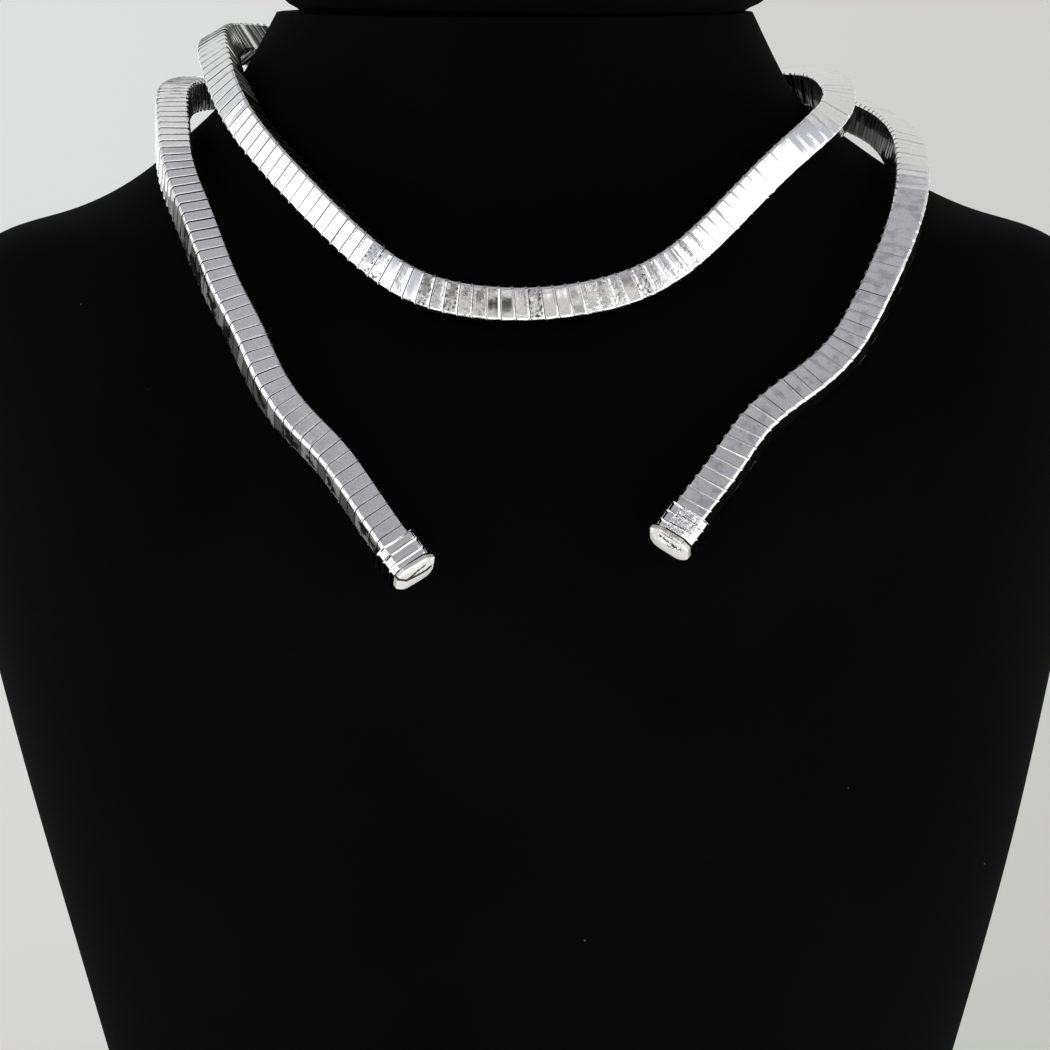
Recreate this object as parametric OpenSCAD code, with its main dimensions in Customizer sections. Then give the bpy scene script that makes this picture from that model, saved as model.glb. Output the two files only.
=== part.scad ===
// Wrap necklace of wound square tube, resting on a plain neck bust.
// Millimetres, +Z up. The origin is the middle of the bust's flat base, under the neck.
// The bust faces -Y, so the viewer's left is -X.

/* [Wound tube] */
// Width of the square tube across its proud lips
tube_w = 7.3; // [6.8:0.1:7.4]
// Leg of the small flat on each long corner
corner_flat = 0.7; // [0.4:0.1:1]
// Length of one turn along the tube
turn_pitch = 2.75; // [2.6:0.05:3.2]
// Height that the lip of each turn stands over the turn beside it
lip_step = 0.22; // [0.1:0.02:0.3]

/* [End caps] */
// Width across the caps' raised bands
cap_w = 9.8; // [9:0.1:10.2]
// Length of a cap from its closed end
cap_length = 7.6; // [7:0.1:8.6]
// Number of wound bands on a cap
cap_bands = 3; // [2:1:4]
// Thickness of a cap's closed end
cap_end_wall = 1.3; // [1:0.1:1.8]
// Space between the tube and the inside of a cap
cap_clearance = 0.15; // [0.1:0.05:0.3]

/* [Bust] */
// Facets round the bust and its neck
bust_facets = 48; // [32:4:64]
// Sections drawn between two rows of the bust table
bust_steps = 2; // [1:1:3]

/* [Hidden] */

// Columns of the route table
ACROSS = 0;
DEEP = 1;
HIGH = 2;
LOOK_ASIDE = 3;
LOOK_UP = 4;

// Route of the tube's centre line from the left end to the right end.
// The last two columns aim the tube's outer face: degrees to the right of straight ahead, and upwards.
ROUTE = [
    // Left arm, up the chest to the shoulder
    [-21.2, -96.8, 144.4, 10, 25],
    [-28, -92, 153, 10, 25],
    [-33.5, -88, 160.5, 12, 25],
    [-39, -84.1, 168, 14, 24],
    [-46.5, -79.9, 174.2, 16, 24],
    [-52.5, -74.4, 181.8, 16, 24],
    [-56.5, -67.3, 190.7, 17, 24],
    [-62, -60, 199, 17, 24],
    [-65.8, -52.5, 207, 17, 26],
    [-69.6, -43.5, 215.2, 15, 30],
    [-73.7, -32.8, 222.4, 12, 36],
    [-75, -17.8, 230, 8, 46],
    [-76.5, 0.5, 235.5, 0, 64],
    // Lower pass behind the neck
    [-74.5, 19.5, 236.8, 0, 80],
    [-65.5, 36, 235.6, 0, 88],
    [-49, 48, 234.6, 0, 90],
    [-26, 54, 235, 0, 90],
    [-2, 55.5, 235.5, 0, 90],
    [20, 53, 235.8, 0, 88],
    [38.5, 45.5, 236, 0, 80],
    [53.1, 33.8, 237.4, 0, 72],
    [63.2, 18.7, 238.7, 0, 66],
    // Front loop, right to left
    [67.5, 1, 238.1, 0, 56],
    [68, -16, 234.3, 6, 44],
    [63, -31, 231, 18, 28],
    [52, -43.5, 224, 22, 16],
    [40.2, -54.5, 212.3, 14, 10],
    [28.1, -63.5, 201.7, 8, 8],
    [11.6, -68.5, 197.3, 0, 8],
    [-6.5, -69.9, 196.6, 0, 8],
    [-23, -65.5, 199.5, -6, 8],
    [-35, -57.5, 209, -15, 8],
    [-47.5, -47, 221, -25, 12],
    [-58.7, -33.8, 232.2, -39, 24],
    [-64.5, -16, 242.5, -44, 46],
    // Upper pass behind the neck
    [-66.6, 2, 247.6, -62, 60],
    [-65, 18, 247.5, -100, 58],
    [-57.5, 33, 246.5, -128, 46],
    [-45, 46.5, 246, -138, 46],
    [-26, 57.5, 246, -150, 60],
    [-2, 63.5, 245, -165, 80],
    [23, 63.5, 242.5, -180, 90],
    [47.5, 57, 238.6, 90, 88],
    [66.2, 43, 233.8, 90, 84],
    [77.1, 24, 230.4, 65, 77],
    // Right arm, from the shoulder down the chest
    [81.8, 2.4, 227.4, 45, 65],
    [83, -18.8, 222.4, 16, 51],
    [81.7, -36.5, 214.5, 2, 37],
    [77.5, -49.5, 205.5, -6, 28],
    [71.8, -59, 195.6, -6, 24],
    [66.5, -66, 187, -6, 24],
    [59.5, -71.5, 181.5, -6, 24],
    [52, -76, 177, -6, 24],
    [46.5, -80, 172.5, -6, 24],
    [42, -84.6, 165.9, -6, 25],
    [35.7, -89.3, 158.6, -6, 25],
    [28.9, -94.1, 150, -6, 25],
];

// Columns of the bust tables
LEVEL = 0;
HALF_WIDTH = 1;
FRONT = 2;
BACK = 3;
SIDEWAYS = 4;

// Sections of the bust's body from the base up to the neck
BUST = [
    [0, 86.5, 62, 44, 1.7],
    [25, 93.5, 67, 45, 1.7],
    [50, 100.4, 73, 46, 1.7],
    [75, 107.1, 79, 47, 1.4],
    [100, 113, 84.5, 48, 0.7],
    [120, 117.4, 88, 49, 0.2],
    [138, 121, 89, 50, 0],
    [154, 123.2, 87, 50, 0],
    [168, 124.8, 82.5, 50.5, 0],
    [180, 125.5, 76.5, 51, 0],
    [190, 124.8, 68.5, 51, 0],
    [198, 122.8, 60.5, 51, 0],
    [204.5, 118.8, 54.5, 51, -0.2],
    [209, 110.5, 51.5, 50.5, -0.1],
    [211.5, 99, 50.5, 50.5, 0],
    [216, 88.8, 49, 50, 0],
    [221.5, 79.8, 48, 50, -0.8],
    [228, 71.7, 47, 49, -1.6],
    [234.5, 63.3, 46.5, 48, -2.6],
    [241, 58.8, 46, 47, -2.2],
    [248, 55.1, 45.5, 46.5, -2],
    [255, 51.6, 45.5, 46, -1.8],
];

// Sections of the neck cap, from the groove under it to its flat top
NECK_CAP = [
    [256, 49.2, 44, 44.5, 0],
    [257.5, 51.8, 46.5, 47, 0.3],
    [259, 52.7, 47.5, 48, 0.4],
    [265, 52.7, 47.5, 48, 0.4],
    [267, 51.8, 46.5, 47, 0.4],
    [268, 49.3, 44, 44.5, 0.4],
];

// Smooth curve through a table's rows

function blend(a, b, c, d, t) =
    (pow(1 - t, 3) * a
     + (3 * pow(t, 3) - 6 * t * t + 4) * b
     + (3 * t + 3 * t * t - 3 * pow(t, 3) + 1) * c
     + pow(t, 3) * d) / 6;

// A row of a table, with one more row continued straight past each end
function row_of(table, i) =
    i < 0 ? 2 * table[0] - table[1]
    : i >= len(table) ? 2 * table[len(table) - 1] - table[len(table) - 2]
    : table[i];

function smooth_row(table, u) =
    let (i = min(floor(u), len(table) - 2))
    blend(row_of(table, i - 1), row_of(table, i), row_of(table, i + 1), row_of(table, i + 2), u - i);

function smooth_table(table, steps) =
    [for (k = [0 : (len(table) - 1) * steps]) smooth_row(table, k / steps)];

// The route by length

function unit(v) = v / norm(v);
function point_of(row) = [row[ACROSS], row[DEEP], row[HIGH]];

ROUTE_STEPS = 12;
WALK = smooth_table(ROUTE, ROUTE_STEPS);
WALKED = [
    for (k = 0, s = 0; k < len(WALK);
         s = s + (k + 1 < len(WALK) ? norm(point_of(WALK[k + 1]) - point_of(WALK[k])) : 0), k = k + 1) s
];
BY_LENGTH = [for (column = [ACROSS : LOOK_UP]) [for (k = [0 : len(WALK) - 1]) [WALKED[k], WALK[k][column]]]];
route_length = WALKED[len(WALKED) - 1];

function place(s) = [for (column = [ACROSS : HIGH]) lookup(s, BY_LENGTH[column])];
function along(s) = unit(place(s + 1) - place(s - 1));

// Outer face of the tube: the aimed direction made square to the route
function face_dir(s) =
    let (
        aside = lookup(s, BY_LENGTH[LOOK_ASIDE]),
        up = lookup(s, BY_LENGTH[LOOK_UP]),
        aim = [sin(aside) * cos(up), -cos(aside) * cos(up), sin(up)],
        t = along(s)
    )
    unit(aim - (aim * t) * t);

// Side of the tube that is turned to the neck
function side_dir(s) = cross(along(s), face_dir(s));

// Square outline with a small flat on each corner
function flat_cornered(half, flat) = [
    [half, -half + flat], [half, half - flat], [half - flat, half], [-half + flat, half],
    [-half, half - flat], [-half, -half + flat], [-half + flat, -half], [half - flat, -half],
];

// Closed skin over rings that all hold the same number of points
module skin(rings) {
    count = len(rings[0]);
    last = len(rings) - 1;
    polyhedron(
        points = [for (ring = rings) each ring],
        faces = [
            [for (j = [0 : count - 1]) j],
            for (i = [0 : last - 1], j = [0 : count - 1])
                let (next = (j + 1) % count)
                each [
                    [i * count + j, (i + 1) * count + j, (i + 1) * count + next],
                    [i * count + j, (i + 1) * count + next, i * count + next],
                ],
            [for (j = [count - 1 : -1 : 0]) last * count + j],
        ]
    );
}

// Sizes of the end caps

band_length = (cap_length - cap_end_wall) / cap_bands;
// Raised edge of a band: its length and how far it stands proud
rim_length = 0.6;
rim_proud = 0.35;
cap_corner = 1.5;
// The end plate is narrower than the bands, and the strip's end lies across it
plate_inset = 0.2;
strip_end_length = 5.2;
strip_end_width = 1.3;
strip_end_proud = 0.3;

// The wound tube

// The tube starts inside the left cap and ends inside the right one
tube_start = strip_end_proud + cap_end_wall + cap_clearance;
tube_length = route_length - 2 * tube_start;
turns = round(tube_length / turn_pitch);
turn_length = tube_length / turns;
// The two nodes of the tube meet in the middle of the lower pass behind the neck
left_turns = round(0.265 * turns);

function tube_ring(s, half) =
    let (p = place(s), side = side_dir(s), face = face_dir(s))
    [for (c = flat_cornered(half, corner_flat)) p - c[0] * side + c[1] * face];

// Each turn starts with its proud lip and narrows until the next lip covers it
module wound_turns(first, last) {
    skin([
        for (k = [first : last], end = [0, 1])
            tube_ring(tube_start + (k + end) * turn_length, tube_w / 2 - end * lip_step)
    ]);
}

module wound_chain_left() {
    color("silver") wound_turns(0, left_turns - 1);
}

module wound_chain_right() {
    color("silver") wound_turns(left_turns, turns - 1);
}

// The end caps

module flat_cornered_prism(width, flat, length) {
    linear_extrude(length) polygon(flat_cornered(width / 2, flat));
}

// A cap stands on its closed end at z = 0 and opens upwards
module end_cap() {
    difference() {
        union() {
            translate([0, 0, strip_end_proud])
                flat_cornered_prism(cap_w - 2 * plate_inset, cap_corner, cap_end_wall);
            for (band = [0 : cap_bands - 1]) {
                low = cap_end_wall + band * band_length;
                translate([0, 0, low])
                    flat_cornered_prism(cap_w - 2 * rim_proud, cap_corner, band_length);
                translate([0, 0, low + band_length - rim_length])
                    flat_cornered_prism(cap_w, cap_corner, rim_length);
            }
            rotate([0, 0, 25])
                translate([-strip_end_length / 2, -strip_end_width / 2, 0])
                    cube([strip_end_length, strip_end_width, cap_end_wall]);
        }
        translate([0, 0, cap_end_wall + strip_end_proud])
            flat_cornered_prism(tube_w + 2 * cap_clearance, corner_flat, cap_length);
    }
}

// Stands its children on the route at length s, with +Z pointing along direction t
module on_route(s, t) {
    p = place(s);
    face = face_dir(s);
    side = cross(face, t);
    multmatrix([
        [side[0], face[0], t[0], p[0]],
        [side[1], face[1], t[1], p[1]],
        [side[2], face[2], t[2], p[2]],
        [0, 0, 0, 1],
    ]) children();
}

module left_end_cap() {
    color("gainsboro") on_route(0, along(0)) end_cap();
}

module right_end_cap() {
    color("gainsboro") on_route(route_length, -along(route_length)) end_cap();
}

// The bust

function bust_ring(row) = [
    for (k = [0 : bust_facets - 1])
        let (a = 360 * k / bust_facets, depth = sin(a) < 0 ? row[FRONT] : row[BACK])
        [row[SIDEWAYS] + row[HALF_WIDTH] * cos(a), depth * sin(a), row[LEVEL]]
];

module neck_bust() {
    color([0.05, 0.05, 0.06])
        skin([for (row = concat(smooth_table(BUST, bust_steps), NECK_CAP)) bust_ring(row)]);
}

neck_bust();
wound_chain_left();
wound_chain_right();
left_end_cap();
right_end_cap();
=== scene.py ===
# %% [markdown]
# # A wrap necklace of wound square tube, on a velvet bust
# The necklace is one flexible tube, wound from a metal strip as a long square helix. It goes one and a
# half times round the neck of a black velvet bust, and a wound cap closes each end.
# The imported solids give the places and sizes. This lesson builds the looks round them, piece by piece.

# %% Load the frame
import math

import bmesh
import bpy
from mathutils import Matrix, Vector, noise


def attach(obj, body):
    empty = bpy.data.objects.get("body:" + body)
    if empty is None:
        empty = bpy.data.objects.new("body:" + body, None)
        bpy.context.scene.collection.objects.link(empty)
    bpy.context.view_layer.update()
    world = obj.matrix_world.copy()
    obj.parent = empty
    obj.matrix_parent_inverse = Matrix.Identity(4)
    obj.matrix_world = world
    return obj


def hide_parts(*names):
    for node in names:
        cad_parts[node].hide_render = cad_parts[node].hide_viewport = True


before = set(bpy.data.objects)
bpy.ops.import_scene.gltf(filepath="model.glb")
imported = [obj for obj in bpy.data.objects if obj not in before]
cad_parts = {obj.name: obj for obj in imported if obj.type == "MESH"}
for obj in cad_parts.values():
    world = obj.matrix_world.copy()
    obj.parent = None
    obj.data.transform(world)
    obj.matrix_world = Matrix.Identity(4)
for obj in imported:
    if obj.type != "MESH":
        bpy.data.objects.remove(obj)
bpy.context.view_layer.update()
MM = 0.001
print("nodes:", ", ".join(sorted(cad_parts)))

# %% [markdown]
# ## The camera
# The photograph is taken from a little above the neck, about a metre away, with a long lens. The lens
# is worked out from the picture's own size of 1050 pixels: what stands one metre away and is one metre
# wide would cover 5046 of them.

# %% Place the camera
PICTURE = 1050
FOCAL_PIXELS = 5046
SHIFT_PIXELS = 2
SENSOR_WIDTH = 36
CAMERA_DISTANCE = 1.1
CAMERA_HEIGHT = 0.284
PITCH_DOWN = math.radians(7.318)

camera = bpy.data.objects.new("camera", bpy.data.cameras.new("camera"))
bpy.context.scene.collection.objects.link(camera)
camera.location = (0, -CAMERA_DISTANCE, CAMERA_HEIGHT)
camera.rotation_euler = (math.pi / 2 - PITCH_DOWN, 0, 0)
camera.data.sensor_width = SENSOR_WIDTH
camera.data.lens = SENSOR_WIDTH * FOCAL_PIXELS / PICTURE
camera.data.shift_x = SHIFT_PIXELS / PICTURE
camera.data.clip_end = 200
bpy.context.scene.camera = camera
print(f"lens {camera.data.lens:.1f} mm")

# %% [markdown]
# ## Sums on sockets
# A node tree is easier to read as sums. The class below wraps a socket, so that `a * b + 1` adds the
# Math nodes itself, in a material and in Geometry Nodes alike. Every other node comes from one method,
# which makes its settings first and fills its sockets after.

# %% Make the helper for node trees
class Wire:
    """A socket that can stand in Python sums."""

    def __init__(self, tree, socket):
        self.tree, self.socket = tree, socket

    def sum(self, operation, *values, clamp=False):
        settings = {"operation": operation, "use_clamp": clamp}
        return self.tree.node("ShaderNodeMath", settings, dict(enumerate(values))).out(0)

    def __add__(self, other):
        return self.sum("ADD", self, other)

    def __radd__(self, other):
        return self.sum("ADD", other, self)

    def __sub__(self, other):
        return self.sum("SUBTRACT", self, other)

    def __rsub__(self, other):
        return self.sum("SUBTRACT", other, self)

    def __mul__(self, other):
        return self.sum("MULTIPLY", self, other)

    def __truediv__(self, other):
        return self.sum("DIVIDE", self, other)

    def __rtruediv__(self, other):
        return self.sum("DIVIDE", other, self)

    def __mod__(self, other):
        return self.sum("FLOORED_MODULO", self, other)

    def floor(self):
        return self.sum("FLOOR", self)

    def abs(self):
        return self.sum("ABSOLUTE", self)

    def over(self, other):
        return self.sum("GREATER_THAN", self, other)

    def rise(self, low, high):
        """0 below low, 1 above high, and smooth between; with high under low it falls."""
        made = self.tree.node(
            "ShaderNodeMapRange", {"interpolation_type": "SMOOTHSTEP"},
            {"Value": self, "From Min": low, "From Max": high},
        )
        return made.out("Result")


class MadeNode:
    """A node whose outputs come back as wires."""

    def __init__(self, tree, node):
        self.tree, self.node = tree, node

    def out(self, key):
        return Wire(self.tree, find_socket(self.node.outputs, key))


def find_socket(sockets, key):
    if isinstance(key, int):
        return sockets[key]
    return next(s for s in sockets if s.name == key and s.enabled)


class Tree:
    """A node tree that makes nodes from their type, settings and socket values."""

    def __init__(self, tree):
        self.tree = tree

    def node(self, kind, settings=None, values=None):
        made = self.tree.nodes.new(kind)
        for name, value in (settings or {}).items():
            if name == "items":
                for _ in range(value - len(made.index_switch_items)):
                    made.index_switch_items.new()
            else:
                setattr(made, name, value)
        for key, value in (values or {}).items():
            socket = find_socket(made.inputs, key)
            if isinstance(value, Wire):
                self.tree.links.new(value.socket, socket)
            else:
                socket.default_value = value
        return MadeNode(self, made)

    def mix(self, amount, a, b):
        """Colour a where amount is 0, and colour b where it is 1."""
        a, b = ((*c, 1) if isinstance(c, tuple) and len(c) == 3 else c for c in (a, b))
        made = self.node("ShaderNodeMix", {"data_type": "RGBA"}, {"Factor": amount, "A": a, "B": b})
        return made.out("Result")


def new_material(name):
    material = bpy.data.materials.new(name)
    material.use_nodes = True
    material.node_tree.nodes.clear()
    return material, Tree(material.node_tree)


def finish_material(tree, surface):
    tree.node("ShaderNodeOutputMaterial", None, {"Surface": surface.out(0)})


print("helpers ready")

# %% [markdown]
# ## The tube's route
# The tube's centre line runs from the left tip up the chest, behind the neck, across the throat, behind
# the neck again and down to the right tip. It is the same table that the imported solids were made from:
# three columns for the place in millimetres, and two for the direction that the tube's outer face is
# aimed in. A smooth curve led by the rows is better here than straight pieces, because polished metal
# shows every kink.

# %% Set out the route
ROUTE = [
    (-21.2, -96.8, 144.4, 10, 25), (-28, -92, 153, 10, 25), (-33.5, -88, 160.5, 12, 25),
    (-39, -84.1, 168, 14, 24), (-46.5, -79.9, 174.2, 16, 24), (-52.5, -74.4, 181.8, 16, 24),
    (-56.5, -67.3, 190.7, 17, 24), (-62, -60, 199, 17, 24), (-65.8, -52.5, 207, 17, 26),
    (-69.6, -43.5, 215.2, 15, 30), (-73.7, -32.8, 222.4, 12, 36), (-75, -17.8, 230, 8, 46),
    (-76.5, 0.5, 235.5, 0, 64), (-74.5, 19.5, 236.8, 0, 80), (-65.5, 36, 235.6, 0, 88),
    (-49, 48, 234.6, 0, 90), (-26, 54, 235, 0, 90), (-2, 55.5, 235.5, 0, 90),
    (20, 53, 235.8, 0, 88), (38.5, 45.5, 236, 0, 80), (53.1, 33.8, 237.4, 0, 72),
    (63.2, 18.7, 238.7, 0, 66), (67.5, 1, 238.1, 0, 56), (68, -16, 234.3, 6, 44),
    (63, -31, 231, 18, 28), (52, -43.5, 224, 22, 16), (40.2, -54.5, 212.3, 14, 10),
    (28.1, -63.5, 201.7, 8, 8), (11.6, -68.5, 197.3, 0, 8), (-6.5, -69.9, 196.6, 0, 8),
    (-23, -65.5, 199.5, -6, 8), (-35, -57.5, 209, -15, 8), (-47.5, -47, 221, -25, 12),
    (-58.7, -33.8, 232.2, -39, 24), (-64.5, -16, 242.5, -44, 46), (-66.6, 2, 247.6, -62, 60),
    (-65, 18, 247.5, -100, 58), (-57.5, 33, 246.5, -128, 46), (-45, 46.5, 246, -138, 46),
    (-26, 57.5, 246, -150, 60), (-2, 63.5, 245, -165, 80), (23, 63.5, 242.5, -180, 90),
    (47.5, 57, 238.6, 90, 88), (66.2, 43, 233.8, 90, 84), (77.1, 24, 230.4, 65, 77),
    (81.8, 2.4, 227.4, 45, 65), (83, -18.8, 222.4, 16, 51), (81.7, -36.5, 214.5, 2, 37),
    (77.5, -49.5, 205.5, -6, 28), (71.8, -59, 195.6, -6, 24), (66.5, -66, 187, -6, 24),
    (59.5, -71.5, 181.5, -6, 24), (52, -76, 177, -6, 24), (46.5, -80, 172.5, -6, 24),
    (42, -84.6, 165.9, -6, 25), (35.7, -89.3, 158.6, -6, 25), (28.9, -94.1, 150, -6, 25),
]


def smooth_table(table, steps):
    """Rows of the uniform cubic curve that a table leads, with steps of them for each of its own."""
    rows = [Vector(row) for row in table]
    rows = [2 * rows[0] - rows[1], *rows, 2 * rows[-1] - rows[-2]]
    nothing = Vector([0] * len(table[0]))
    smooth = []
    for k in range((len(table) - 1) * steps + 1):
        i = min(k // steps, len(table) - 2)
        t = k / steps - i
        weights = ((1 - t) ** 3, 3 * t**3 - 6 * t * t + 4, -3 * t**3 + 3 * t * t + 3 * t + 1, t**3)
        smooth.append(sum((w * rows[i + n] for n, w in enumerate(weights)), nothing) / 6)
    return smooth


ROUTE_STEPS = 40
route_rows = smooth_table(ROUTE, ROUTE_STEPS)
route_points = [Vector(row[:3]) * MM for row in route_rows]
route_aims = []
for row in route_rows:
    aside, up = math.radians(row[3]), math.radians(row[4])
    level = math.cos(up)
    route_aims.append(Vector((math.sin(aside) * level, -math.cos(aside) * level, math.sin(up))))
route_length = sum((b - a).length for a, b in zip(route_points, route_points[1:]))
print(f"the tube's centre line is {route_length * 1000:.0f} mm long")

# %% [markdown]
# ## The wound strip
# On the real necklace one metal strip is wound round and round on a square section. Each turn is a
# little flared: its proud lip lies over the turn before it, and its narrow tail goes under the next
# lip. The lips point to the left tip. It could be made as hundreds of rings, but real seams don't join
# up with themselves: they run on as one right-handed helix. So Geometry Nodes take a flat grid, with one
# line of points across the strip for each step round the square, and lay every point in its place
# along the route.

# %% Lay out the points of the strip
TUBE_WIDTH = 7.3 * MM
CORNER_FLAT = 0.7 * MM
TURN_PITCH = 2.75 * MM
CAP_OVERLAP = 1.75 * MM
SIDES = 4
STEPS_PER_SIDE = 4
STEPS_PER_TURN = SIDES * STEPS_PER_SIDE
# Across the strip, from under the lip, over its crest and down to the tail that the next lip hides, and
# back: the place along the tube in turns, and the depth under the crest in millimetres
ACROSS_STRIP = [
    (0.0, 0.42), (0.0, 0.05), (0.012, 0.0), (0.045, 0.0), (0.09, 0.08), (0.15, 0.16), (0.2, 0.175),
    (0.55, 0.18), (0.9, 0.19), (0.95, 0.22), (1.0, 0.4), (1.06, 0.46), (0.0, 0.42),
]
# The same points on the strip's map: under 0 is the edge of the lip, and over 1.06 the hidden side
ACROSS_MAP = [-0.2, 0.0, 0.012, 0.045, 0.09, 0.15, 0.2, 0.55, 0.9, 0.95, 1.0, 1.06, 2.0]
# 1 for the points of the panel between the lips, which can be tilted as a whole
ACROSS_PANEL = [0, 0, 0, 0, 0, 1, 1, 1, 1, 1, 1, 1, 0]
PANEL_MIDDLE = 0.55
# How far inside the sharp corner's sides the middle of a rounding lies, as a share of its radius
ROUNDING_MIDDLE = 0.293


def turn_at(row):
    """How many turns the tube has made where it passes a row of the route."""
    passed = route_points[:round(row * ROUTE_STEPS) + 1]
    return (sum((b - a).length for a, b in zip(passed, passed[1:])) - CAP_OVERLAP) / TURN_PITCH


def between(turn, first, last, soft=1.0):
    """1 between two rows of the route, and 0 a few turns outside them."""
    started = turn.rise(turn_at(first), turn_at(first + soft))
    return started * turn.rise(turn_at(last + soft), turn_at(last))


tail = max(place for place, depth in ACROSS_STRIP)
turns = math.floor((route_length - 2 * CAP_OVERLAP) / TURN_PITCH - tail)
route_mesh = bpy.data.meshes.new("route")
route_mesh.from_pydata(route_points, [(k, k + 1) for k in range(len(route_points) - 1)], [])
aims = route_mesh.attributes.new("aim", "FLOAT_VECTOR", "POINT")
aims.data.foreach_set("vector", [x for aim in route_aims for x in aim])
strip = bpy.data.objects.new("wound_strip", route_mesh)
bpy.context.scene.collection.objects.link(strip)
print(f"{turns} turns of {TURN_PITCH * 1000:.2f} mm")


# %% Build the node tree that winds the strip
class Vec:
    """Vector sums on wires."""

    def __init__(self, wire):
        self.wire = wire

    def sum(self, operation, *others):
        values = {0: self.wire}
        values.update({n + 1: o.wire if isinstance(o, Vec) else o for n, o in enumerate(others)})
        return self.wire.tree.node("ShaderNodeVectorMath", {"operation": operation}, values)

    def __add__(self, other):
        return Vec(self.sum("ADD", other).out(0))

    def __sub__(self, other):
        return Vec(self.sum("SUBTRACT", other).out(0))

    def dot(self, other):
        return self.sum("DOT_PRODUCT", other).out("Value")

    def cross(self, other):
        return Vec(self.sum("CROSS_PRODUCT", other).out(0))

    def unit(self):
        return Vec(self.sum("NORMALIZE").out(0))

    def times(self, amount):
        values = {"Vector": self.wire, "Scale": amount}
        return Vec(self.wire.tree.node("ShaderNodeVectorMath", {"operation": "SCALE"}, values).out(0))


def tree_with_inputs(name, numbers):
    """A Geometry Nodes tree with a geometry, a material and the named numbers as inputs."""
    group = bpy.data.node_groups.new(name, "GeometryNodeTree")
    sides = [("Geometry", "INPUT", "NodeSocketGeometry"), ("Geometry", "OUTPUT", "NodeSocketGeometry")]
    sides.append(("Material", "INPUT", "NodeSocketMaterial"))
    for label, side, kind in sides + [(label, "INPUT", "NodeSocketFloat") for label in numbers]:
        group.interface.new_socket(label, in_out=side, socket_type=kind)
    tree = Tree(group)
    return group, tree, tree.node("NodeGroupInput")


# %% Give the tree its sizes
STRIP_SIZES = {
    "Tube width": TUBE_WIDTH, "Corner flat": CORNER_FLAT, "Turn pitch": TURN_PITCH, "Start": CAP_OVERLAP,
    "Turns": turns, "Lip wobble": 0.03 * MM, "Panel tilt": 0.075 * MM, "Pitch wobble": 0.12 * MM,
}
group, tree, given = tree_with_inputs("wind_strip", STRIP_SIZES)
print(", ".join(STRIP_SIZES))


# %% Number the grid's points and give each its depth
def pick(tree, index, values):
    """The value whose place in the list is the index."""
    settings = {"data_type": "FLOAT", "items": len(values)}
    switch = {"Index": index, **{str(n): float(v) for n, v in enumerate(values)}}
    return tree.node("GeometryNodeIndexSwitch", settings, switch).out(0)


def chance(tree, spread, number, seed):
    """A random number within the spread, the same for every point with that number."""
    values = {"Min": spread * -1, "Max": spread, "ID": number, "Seed": seed}
    return tree.node("FunctionNodeRandomValue", {"data_type": "FLOAT"}, values).out("Value")


columns = len(ACROSS_STRIP)
grid = tree.node(
    "GeometryNodeMeshGrid", None,
    {"Size X": 1.0, "Size Y": 1.0, "Vertices X": turns * STEPS_PER_TURN + 1, "Vertices Y": columns},
)
index = tree.node("GeometryNodeInputIndex").out(0)
step = (index / columns + 0.5 / columns).floor()
column = index % columns
turn = step / STEPS_PER_TURN
across = pick(tree, column, [place for place, depth in ACROSS_STRIP])
depth = pick(tree, column, [depth * MM for place, depth in ACROSS_STRIP])
# On the right shoulder the turns lie nearly flush; on the right arm and at the throat the steps are low
flush = between(turn, 18, 27.2) + between(turn, 41, 47)
depth = depth * (1.0 - flush * 0.7 - between(turn, 47, 51) * 0.45 - between(turn, 28, 36) * 0.35)
corner_flat = given.out("Corner flat") * (1.0 + turn.rise(turn_at(9), turn_at(6)) * 0.45)

panel = (step / STEPS_PER_SIDE + 0.5 / STEPS_PER_SIDE).floor()
side = panel % SIDES
point_of_side = step % STEPS_PER_SIDE

in_panel = pick(tree, column, ACROSS_PANEL)
on_corner = point_of_side.over(2.5)
from_middle = (point_of_side - 1.0) * (1.0 - on_corner)
lift = chance(tree, given.out("Lip wobble"), panel, 3) * (1.0 - in_panel)
tilt = chance(tree, given.out("Panel tilt"), panel, 5) * (across - PANEL_MIDDLE) * 2 * in_panel
twist = chance(tree, given.out("Panel tilt") / 3, panel, 8) * from_middle * in_panel
half = given.out("Tube width") / 2 - depth + lift
rounding = corner_flat * ROUNDING_MIDDLE
outward = half - rounding * on_corner + tilt + twist
along_side = (half - corner_flat) * from_middle + (half - rounding) * on_corner

print(columns, "points across the strip")

# %% Lay each point along the route
helix = turn + across
pitch_noise = tree.node(
    "ShaderNodeTexNoise", {"noise_dimensions": "1D"}, {"W": helix, "Scale": 0.6, "Detail": 1.0},
).out(0)
wobble = (pitch_noise - 0.5) * given.out("Pitch wobble")
length = given.out("Start") + helix * given.out("Turn pitch") + wobble

route_curve = tree.node("GeometryNodeMeshToCurve", None, {"Mesh": given.out("Geometry")}).out(0)
stored_aim = tree.node("GeometryNodeInputNamedAttribute", {"data_type": "FLOAT_VECTOR"}, {"Name": "aim"})
sample = tree.node(
    "GeometryNodeSampleCurve", {"mode": "LENGTH", "data_type": "FLOAT_VECTOR"},
    {"Curves": route_curve, "Value": stored_aim.out("Attribute"), "Length": length},
)
along = Vec(sample.out("Tangent")).unit()
aimed = Vec(sample.out("Value"))
face = (aimed - along.times(aimed.dot(along))).unit()
inward = along.cross(face)
quarter = side * (math.pi / 2)
cosine = quarter.sum("COSINE", quarter)
sine = quarter.sum("SINE", quarter)
place = (
    Vec(sample.out("Position"))
    + face.times(outward * cosine - along_side * sine)
    + inward.times(outward * sine + along_side * cosine)
)
laid = tree.node(
    "GeometryNodeSetPosition", None, {"Geometry": grid.out("Mesh"), "Position": place.wire},
).out(0)
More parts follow.
